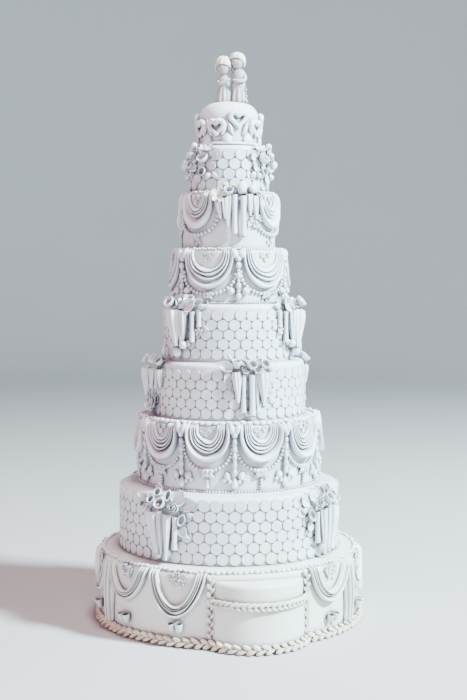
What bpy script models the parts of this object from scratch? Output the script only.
"""A nine-tier wedding cake covered in white icing.

The tiers stand one on another and are dressed by turns with flat discs and with
draped swags. Fluted bouquets hang on five of the tiers, a small bow-fronted cutting
cake is built into the front of the lowest one, and a couple stands on the top.
Metres, +Z up. The origin is the middle of the cake's flat underside, and the front
faces -Y. An azimuth is measured from the front towards +X.
"""

import math

import bmesh
import bpy
from mathutils import Vector

GAP = 0.0003
WIDE_TIER_SIDES = 40
NARROW_TIER_SIDES = 32
WIDE_TIERS = 3

# Each tier: wall radius, height, radius of its rounded shoulder.
TIERS = (
    (0.293, 0.160, 0.016),
    (0.2465, 0.148, 0.014),
    (0.201, 0.151, 0.012),
    (0.170, 0.125, 0.010),
    (0.146, 0.127, 0.010),
    (0.126, 0.120, 0.009),
    (0.104, 0.125, 0.008),
    (0.086, 0.102, 0.010),
    (0.067, 0.100, 0.036),
)

# The cutting cake: a round cake let into the front of the lowest tier.
CUT_AZIMUTH = math.radians(13.0)
CUT_HALF_ANGLE = math.radians(20.3)
CUT_BULGE = 0.045
CUT_LOWER_TOP = 0.098
CUT_TOP = 0.143
CUT_SETBACK = 0.003
CUT_STEPS = 12
CUT_EDGE = 0.004
CUT_END_TRIM = math.radians(5.0)

# The rope border over the join of its two layers, and the upright ones over its ends.
ROPE_LOW = 0.0885
ROPE_HEIGHT = 0.0205
ROPE_WIDTH = 0.011
ROPE_CLEAR = 0.0007
ROPE_END_TRIM = math.radians(10.5)
SEAM_WIDTH = 0.012
SEAM_CLEAR = 0.0009
SEAM_RISE = 0.004
SEAM_ROWS = 10

# The shell border round the foot of the lowest tier.
BORDER_STEPS = 52
BORDER_WIDTH = 0.014
BORDER_HEIGHT = 0.022
BORDER_LIFT = 0.0006
BORDER_CLEAR = 0.0015


def evenly(first, step, count):
    """Azimuths in degrees at equal steps."""
    return tuple(first + step * index for index in range(count))


# Swags by tier number: azimuths of their middles, half width, half width and drop of the
# opening inside, drop of the outer fold, how far the folds stand out, how many folds there
# are, and how many steps a fold takes from end to end.
SWAGS = {
    1: dict(azimuths=evenly(-21.6, -26.42, 12), half=0.0650, inner_half=0.045,
            inner_drop=0.058, drop=0.083, proud=0.013, folds=3, steps=6),
    3: dict(azimuths=evenly(-13.0, -360 / 11, 11), half=0.0535, inner_half=0.023,
            inner_drop=0.023, drop=0.071, proud=0.014, folds=2, steps=5),
    6: dict(azimuths=evenly(-21.0, -60.0, 6), half=0.0625, inner_half=0.033,
            inner_drop=0.028, drop=0.080, proud=0.011, folds=3, steps=7),
    7: dict(azimuths=(-40.0, -96.0, 60.0, 116.0), half=0.0425, inner_half=0.022,
            inner_drop=0.027, drop=0.071, proud=0.011, folds=3, steps=7),
}
SWAG_THIN = 0.0018
BAND_BELOW = 0.004
BAND_ABOVE = 0.003
BAND_WIDTH = 0.004
BAND_STEPS = 22

# Bouquets by tier number: azimuths, half width at the top and at the foot, how far they
# stand out, and how high they are.
BOUQUETS = {
    2: dict(azimuths=(-35.0, 56.0, 148.0, 234.0), half=0.052, foot=0.020, proud=0.030,
            height=0.138),
    4: dict(azimuths=(12.0, 118.0, 192.0, 286.0), half=0.050, foot=0.022, proud=0.026,
            height=0.115),
    5: dict(azimuths=(-41.0, 63.0, 140.0, 229.0), half=0.046, foot=0.018, proud=0.025,
            height=0.118),
    7: dict(azimuths=(10.0, 190.0), half=0.045, foot=0.018, proud=0.025, height=0.104),
    8: dict(azimuths=(-42.0, 58.0, 140.0, 229.0), half=0.037, foot=0.030, proud=0.022,
            height=0.078),
}
BOUQUET_BELOW_TOP = 0.004
BOUQUET_COLUMNS = 6
BOUQUET_ROWS = 4

SCROLLS = 9
SCROLL_FIRST = math.radians(-23.0)
SCROLL_PROUD = 0.010
SCROLL_COLUMNS = 5
SCROLL_ROWS = 3

# The couple: offset of each figure from the middle, full height, width and height of the
# head, and radius of the hem, waist and chest.
FIGURE_LEFT = dict(x=-0.0118, height=0.1062, head=0.034, face=0.0445, hem=0.0170, waist=0.0133,
                   chest=0.0142)
FIGURE_RIGHT = dict(x=0.0222, height=0.1141, head=0.0325, face=0.0375, hem=0.0174, waist=0.0148,
                    chest=0.0156)
FIGURE_SIDES = 10
HEAD_RINGS = 6
SKIRT_TOP = 0.5

WHITE = (0.86, 0.88, 0.90)
CREAM = (0.80, 0.74, 0.60)
PEARL = (0.76, 0.78, 0.80)


def clear_scene():
    for obj in list(bpy.data.objects):
        bpy.data.objects.remove(obj, do_unlink=True)


def icing(name, colour, roughness=0.55):
    """A material for one kind of icing, made once."""
    found = bpy.data.materials.get(name)
    if found:
        return found
    material = bpy.data.materials.new(name)
    material.use_nodes = True
    shader = material.node_tree.nodes["Principled BSDF"]
    shader.inputs["Base Color"].default_value = (*colour, 1.0)
    shader.inputs["Roughness"].default_value = roughness
    shader.inputs["Metallic"].default_value = 0.0
    return material


def add_object(name, bm, material):
    """Turns a closed bmesh into one named object with its faces pointing out."""
    bmesh.ops.recalc_face_normals(bm, faces=bm.faces)
    if bm.calc_volume(signed=True) < 0:
        bmesh.ops.reverse_faces(bm, faces=bm.faces)
    mesh = bpy.data.meshes.new(name)
    bm.to_mesh(mesh)
    bm.free()
    mesh.shade_smooth()
    mesh.set_sharp_from_angle(angle=math.radians(50))
    mesh.materials.append(material)
    obj = bpy.data.objects.new(name, mesh)
    bpy.context.scene.collection.objects.link(obj)
    return obj


def tier_base(number):
    """Height of the underside of a tier, counting from 1 at the bottom."""
    return sum(height for _, height, _ in TIERS[: number - 1])


def on_wall(radius, azimuth, z):
    """The point at this radius, azimuth and height."""
    return Vector((radius * math.sin(azimuth), -radius * math.cos(azimuth), z))


def clear_of(radius, span):
    """Radius at which a straight chord over this angle stays clear of a round wall."""
    return (radius + GAP) / math.cos(span / 2)


def turned(name, profile, sides, material):
    """A solid of revolution. The profile runs from the axis out and back to it."""
    bm = bmesh.new()
    rings = []
    for radius, z in profile[1:-1]:
        rings.append([
            bm.verts.new(on_wall(radius, 2 * math.pi * side / sides, z)) for side in range(sides)
        ])
    for lower, upper in zip(rings, rings[1:]):
        for side in range(sides):
            after = (side + 1) % sides
            bm.faces.new((lower[side], lower[after], upper[after], upper[side]))
    bm.faces.new(rings[0])
    bm.faces.new(rings[-1])
    return add_object(name, bm, material)


def shoulder(radius, top, rounding, steps):
    """Points of a quarter round from the wall up to the top."""
    points = []
    for step in range(steps + 1):
        turn = math.pi / 2 * step / steps
        points.append((
            radius - rounding * (1 - math.cos(turn)),
            top - rounding * (1 - math.sin(turn)),
        ))
    return points


def add_tier(number):
    radius, height, rounding = TIERS[number - 1]
    base = tier_base(number)
    low = base + (GAP if number > 1 else 0.0)
    top = base + height
    steps = 4 if number == len(TIERS) else 2
    profile = [(0.0, low), (radius, low), *shoulder(radius, top, rounding, steps), (0.0, top)]
    sides = WIDE_TIER_SIDES if number <= WIDE_TIERS else NARROW_TIER_SIDES
    turned(f"tier_{number}", profile, sides, icing("tier_icing", WHITE))


def sheet_solid(front, back, closed=False):
    """A bmesh between a grid of front points and a grid of back points.

    Both have as many rows. A front row may hold more points than a back row.
    """
    bm = bmesh.new()
    front = [[bm.verts.new(point) for point in row] for row in front]
    back = [[bm.verts.new(point) for point in row] for row in back]
    pairs = list(zip(range(len(front)), range(1, len(front))))
    if closed:
        pairs.append((len(front) - 1, 0))
    for this, after in pairs:
        for grid in (front, back):
            for column in range(len(grid[this]) - 1):
                bm.faces.new((
                    grid[this][column], grid[after][column],
                    grid[after][column + 1], grid[this][column + 1],
                ))
        for side in (0, -1):
            bm.faces.new((
                front[this][side], front[after][side], back[after][side], back[this][side],
            ))
    if not closed:
        for row in (0, -1):
            bm.faces.new(front[row] + back[row][::-1])
    return bm


def swag_grids(radius, azimuth, top, half, inner_half, inner_drop, drop, proud, folds, steps):
    """Front and back points of one draped swag: nested hanging curves with rounded folds."""
    columns = 2 * folds
    back_radius = clear_of(radius, math.hypot(half - inner_half, half * math.pi / steps) / radius)
    front, back = [], []
    for step in range(steps + 1):
        turn = math.pi * step / steps
        row = []
        for column in range(columns + 1):
            share = column / columns
            across = -(inner_half + (half - inner_half) * share) * math.cos(turn)
            down = (inner_drop + (drop - inner_drop) * share) * math.sin(turn)
            ridge = (0.55 + 0.45 * share) if column % 2 else 0.25 + 0.25 * share
            fullness = 0.45 + 0.55 * math.sin(turn)
            out = SWAG_THIN + (proud - SWAG_THIN) * ridge * fullness
            row.append(on_wall(back_radius + out, azimuth + across / radius, top - down))
        front.append(row)
        ends = []
        for edge_half, edge_drop in ((inner_half, inner_drop), (half, drop)):
            across = -edge_half * math.cos(turn)
            down = edge_drop * math.sin(turn)
            ends.append(on_wall(back_radius, azimuth + across / radius, top - down))
        back.append(ends)
    return front, back


def swag_meshes(number):
    """A bmesh for each swag of this tier."""
    sizes = dict(SWAGS[number])
    radius, height, rounding = TIERS[number - 1]
    top = tier_base(number) + height - rounding
    for degrees in sizes.pop("azimuths"):
        yield sheet_solid(*swag_grids(radius, math.radians(degrees), top, **sizes))


def add_swags(number):
    material = icing("swag_icing", WHITE)
    for index, bm in enumerate(swag_meshes(number), 1):
        add_object(f"tier_{number}_swag_{index:02d}", bm, material)


def ring_band(name, radius, low, high, material):
    """A plain band of icing round a wall."""
    inner = clear_of(radius, 2 * math.pi / BAND_STEPS)
    front, back = [], []
    for step in range(BAND_STEPS):
        azimuth = 2 * math.pi * step / BAND_STEPS
        front.append([
            on_wall(inner + BAND_WIDTH, azimuth, low),
            on_wall(inner + BAND_WIDTH * 0.6, azimuth, high),
        ])
        back.append([on_wall(inner, azimuth, low), on_wall(inner, azimuth, high)])
    return add_object(name, sheet_solid(front, back, closed=True), material)


def add_swag_ring(number):
    """Swags that hang from one band, joined into one solid."""
    radius, height, rounding = TIERS[number - 1]
    top = tier_base(number) + height - rounding
    material = icing("swag_icing", WHITE)
    ring = ring_band(
        f"tier_{number}_swags", radius, top - BAND_BELOW, top + BAND_ABOVE, material
    )
    swags = [
        add_object(f"guide_swag_{index}", bm, material)
        for index, bm in enumerate(swag_meshes(number))
    ]
    for swag in swags:
        swag.hide_render = True
        swag.display_type = "WIRE"
        union = ring.modifiers.new(swag.name, "BOOLEAN")
        union.operation = "UNION"
        union.object = swag


def bouquet_grids(radius, azimuth, top, half, foot, proud, height):
    """Front and back points of one bouquet: buds above, hanging flutes that narrow below."""
    columns, rows = BOUQUET_COLUMNS, BOUQUET_ROWS
    back_radius = clear_of(radius, (half - foot + half / columns) / radius)
    front, back = [], []
    for column in range(columns + 1):
        side = 2 * column / columns - 1
        flute = 1.0 if column % 2 else 0.62
        if column in (0, columns):
            flute = 0.30
        points = []
        for row in range(rows + 1):
            fall = row / rows
            width = half + (foot - half) * fall ** 0.8
            belly = 0.30 + 0.70 * math.sin(math.pi * min(1.0, 0.22 + 0.72 * fall)) ** 0.7
            out = max(SWAG_THIN, proud * flute * belly)
            length = height * (1 - 0.12 * abs(side) * fall)
            turn = azimuth + side * width / radius
            points.append(on_wall(back_radius + out, turn, top - length * fall))
        front.append(points)
        back.append([
            on_wall(back_radius, azimuth + side * half / radius, top),
            on_wall(back_radius, azimuth + side * foot / radius,
                    top - height * (1 - 0.12 * abs(side))),
        ])
    return front, back


def add_bouquets(number):
    sizes = dict(BOUQUETS[number])
    radius, height, _ = TIERS[number - 1]
    top = tier_base(number) + height - BOUQUET_BELOW_TOP
    azimuths = sizes.pop("azimuths")
    material = icing("bouquet_icing", PEARL, 0.45)
    for index, degrees in enumerate(azimuths, 1):
        grids = bouquet_grids(radius, math.radians(degrees), top, **sizes)
        add_object(f"tier_{number}_bouquet_{index}", sheet_solid(*grids), material)


def cut_circle():
    """Centre and radius of the round cake that bows out of the lowest tier."""
    wall = TIERS[0][0]
    half_chord = wall * math.sin(CUT_HALF_ANGLE)
    rise = wall + CUT_BULGE - wall * math.cos(CUT_HALF_ANGLE)
    radius = (half_chord ** 2 + rise ** 2) / (2 * rise)
    return on_wall(wall + CUT_BULGE - radius, CUT_AZIMUTH, 0.0), radius


def cut_outline(offset, trim=0.0):
    """Points along the bowed front, moved out by offset, with both ends trimmed."""
    centre, radius = cut_circle()
    half_chord = TIERS[0][0] * math.sin(CUT_HALF_ANGLE)
    end = math.asin(half_chord / radius) - trim
    points = []
    for step in range(CUT_STEPS + 1):
        turn = CUT_AZIMUTH - end + 2 * end * step / CUT_STEPS
        points.append(centre + on_wall(radius + offset, turn, 0.0))
    return points


def crescent(name, setback, low, high, material):
    """One layer of the cutting cake: bowed in front, fitted round the tier behind."""
    wall = clear_of(TIERS[0][0], 2 * CUT_HALF_ANGLE / CUT_STEPS)
    levels = ((0.0, low), (0.0, high - CUT_EDGE), (-CUT_EDGE, high))
    bm = bmesh.new()
    rings = []
    for offset, z in levels:
        outer = cut_outline(offset - setback, CUT_END_TRIM)
        inner = []
        for point in reversed(outer):
            azimuth = math.atan2(point.x, -point.y)
            inner.append(on_wall(wall, azimuth, 0.0))
        rings.append([bm.verts.new(point + Vector((0, 0, z))) for point in outer + inner])
    count = len(rings[0])
    for lower, upper in zip(rings, rings[1:]):
        for index in range(count):
            after = (index + 1) % count
            bm.faces.new((lower[index], lower[after], upper[after], upper[index]))
    bm.faces.new(rings[0])
    bm.faces.new(rings[-1])
    return add_object(name, bm, material)


def add_cutting_cake():
    material = icing("tier_icing", WHITE)
    crescent("cutting_cake_lower", 0.0, 0.0, CUT_LOWER_TOP, material)
    crescent("cutting_cake_upper", CUT_SETBACK, CUT_LOWER_TOP + GAP, CUT_TOP, material)


def add_rope():
    """The double rope border over the join between the two layers."""
    near = cut_outline(ROPE_CLEAR, ROPE_END_TRIM)
    middle = cut_outline(ROPE_CLEAR + ROPE_WIDTH, ROPE_END_TRIM)
    front, back = [], []
    for inner, outer in zip(near, middle):
        swell = outer - inner
        front.append([
            inner + swell * 0.7 + Vector((0, 0, ROPE_LOW)),
            inner + swell + Vector((0, 0, ROPE_LOW + 0.25 * ROPE_HEIGHT)),
            inner + swell * 0.75 + Vector((0, 0, ROPE_LOW + 0.5 * ROPE_HEIGHT)),
            inner + swell + Vector((0, 0, ROPE_LOW + 0.75 * ROPE_HEIGHT)),
            inner + swell * 0.5 + Vector((0, 0, ROPE_LOW + ROPE_HEIGHT)),
        ])
        back.append([
            inner + Vector((0, 0, ROPE_LOW)),
            inner + Vector((0, 0, ROPE_LOW + ROPE_HEIGHT)),
        ])
    add_object("cutting_cake_rope", sheet_solid(front, back), icing("border_icing", CREAM))


def border_radius(azimuth, offset):
    """Distance of the foot of the wall from the middle, cutting cake included."""
    wall = TIERS[0][0] + offset
    centre, radius = cut_circle()
    radius += offset
    along = centre.dot(on_wall(1.0, azimuth, 0.0))
    inside = radius ** 2 - (centre.length_squared - along ** 2)
    if inside <= 0:
        return wall
    return max(wall, along + math.sqrt(inside))


def add_base_border():
    """The shell border round the foot of the lowest tier and its cutting cake."""
    front, back = [], []
    clear = clear_of(TIERS[0][0], 2 * math.pi / BORDER_STEPS) - TIERS[0][0] + BORDER_CLEAR
    for step in range(BORDER_STEPS):
        azimuth = 2 * math.pi * step / BORDER_STEPS
        swell = BORDER_WIDTH * (1.0 if step % 2 else 0.84)
        inner = border_radius(azimuth, clear)
        low = BORDER_LIFT
        front.append([
            on_wall(inner + swell, azimuth, low),
            on_wall(inner + swell * 0.95, azimuth, low + 0.45 * BORDER_HEIGHT),
            on_wall(inner + swell * 0.35, azimuth, low + BORDER_HEIGHT),
        ])
        back.append([
            on_wall(inner, azimuth, low),
            on_wall(inner, azimuth, low + BORDER_HEIGHT),
        ])
    bm = sheet_solid(front, back, closed=True)
    add_object("base_border", bm, icing("border_icing", CREAM))


def add_seam(name, side):
    """An upright border over one end of the cutting cake."""
    centre, radius = cut_circle()
    end = math.asin(TIERS[0][0] * math.sin(CUT_HALF_ANGLE) / radius)
    corner = centre + on_wall(radius, CUT_AZIMUTH + side * end, 0.0)
    azimuth = math.atan2(corner.x, -corner.y)
    wall = TIERS[0][0] + SEAM_CLEAR
    low = BORDER_HEIGHT + BORDER_LIFT + GAP
    high = CUT_TOP + SEAM_RISE
    half = SEAM_WIDTH / 2 / wall
    front, back = [], []
    for row in range(SEAM_ROWS + 1):
        z = low + (high - low) * row / SEAM_ROWS
        swell = SEAM_WIDTH * (0.62 if row % 2 else 0.48)
        front.append([
            on_wall(wall + 0.35 * swell, azimuth - half, z),
            on_wall(wall + swell, azimuth, z),
            on_wall(wall + 0.35 * swell, azimuth + half, z),
        ])
        back.append([on_wall(wall, azimuth - half, z), on_wall(wall, azimuth + half, z)])
    add_object(name, sheet_solid(front, back), icing("border_icing", CREAM))


def add_scrolls():
    """Nine piped hearts round the top tier, each two arched lobes that meet at the foot."""
    radius, height, rounding = TIERS[-1]
    low = tier_base(len(TIERS)) + 0.004
    high = low + height - rounding - 0.001
    columns = SCROLLS * SCROLL_COLUMNS
    wall = clear_of(radius, 2 * math.pi / columns)
    front, back = [], []
    for column in range(columns):
        azimuth = SCROLL_FIRST + 2 * math.pi * column / columns
        across = abs((column / SCROLL_COLUMNS + 0.5) % 1.0 - 0.5) * 2
        points = []
        for row in range(SCROLL_ROWS + 1):
            up = row / SCROLL_ROWS
            lobe = 1 - abs(math.hypot((across - 0.45) / 0.42, (up - 0.62) / 0.36) - 0.75)
            out = SWAG_THIN + SCROLL_PROUD * min(1.0, max(0.1, lobe))
            points.append(on_wall(wall + out, azimuth, low + (high - low) * up))
        front.append(points)
        back.append([on_wall(wall, azimuth, low), on_wall(wall, azimuth, high)])
    add_object("tier_9_scrolls", sheet_solid(front, back, closed=True),
               icing("swag_icing", WHITE))


def figure(name, x, height, head, face, hem, waist, chest):
    """A small standing figure in a long fluted dress, with a large egg-shaped head."""
    base = tier_base(len(TIERS)) + TIERS[-1][1] + GAP
    neck = base + height - face
    body = neck - base
    # Radius and share of the body's height: hem, skirt, waist, chest, shoulder and neck.
    profile = (
        (hem, 0.0), (hem * 0.97, 0.05), (hem * 0.88, 0.30), (waist, 0.52),
        (waist * 1.02, 0.60), (chest, 0.80), (chest * 0.90, 0.93), (chest * 0.45, 1.01),
    )
    bm = bmesh.new()
    rings = []
    for radius, level in profile:
        ring = []
        for side in range(FIGURE_SIDES):
            flute = 0.90 if side % 2 and level < SKIRT_TOP else 1.0
            point = on_wall(radius * flute, 2 * math.pi * side / FIGURE_SIDES, base + body * level)
            ring.append(bm.verts.new(point + Vector((x, 0.0, 0.0))))
        rings.append(ring)
    for turn in range(1, HEAD_RINGS + 1):
        rise = math.pi * turn / (HEAD_RINGS + 1)
        z = neck + face / 2 * (1 - math.cos(rise))
        ring = []
        for side in range(FIGURE_SIDES):
            point = on_wall(head / 2 * math.sin(rise), 2 * math.pi * side / FIGURE_SIDES, z)
            ring.append(bm.verts.new(point + Vector((x, 0.0, 0.0))))
        rings.append(ring)
    for lower, upper in zip(rings, rings[1:]):
        for side in range(FIGURE_SIDES):
            after = (side + 1) % FIGURE_SIDES
            bm.faces.new((lower[side], lower[after], upper[after], upper[side]))
    bm.faces.new(rings[0])
    bm.faces.new(rings[-1])
    return add_object(name, bm, icing("figure_icing", PEARL, 0.5))


def main():
    clear_scene()
    for number in range(1, len(TIERS) + 1):
        add_tier(number)
    add_cutting_cake()
    add_rope()
    add_seam("cutting_cake_seam_left", -1)
    add_seam("cutting_cake_seam_right", 1)
    add_base_border()
    for number in (1, 6, 7):
        add_swags(number)
    add_swag_ring(3)
    for number in BOUQUETS:
        add_bouquets(number)
    add_scrolls()
    figure("figure_left", **FIGURE_LEFT)
    figure("figure_right", **FIGURE_RIGHT)


main()
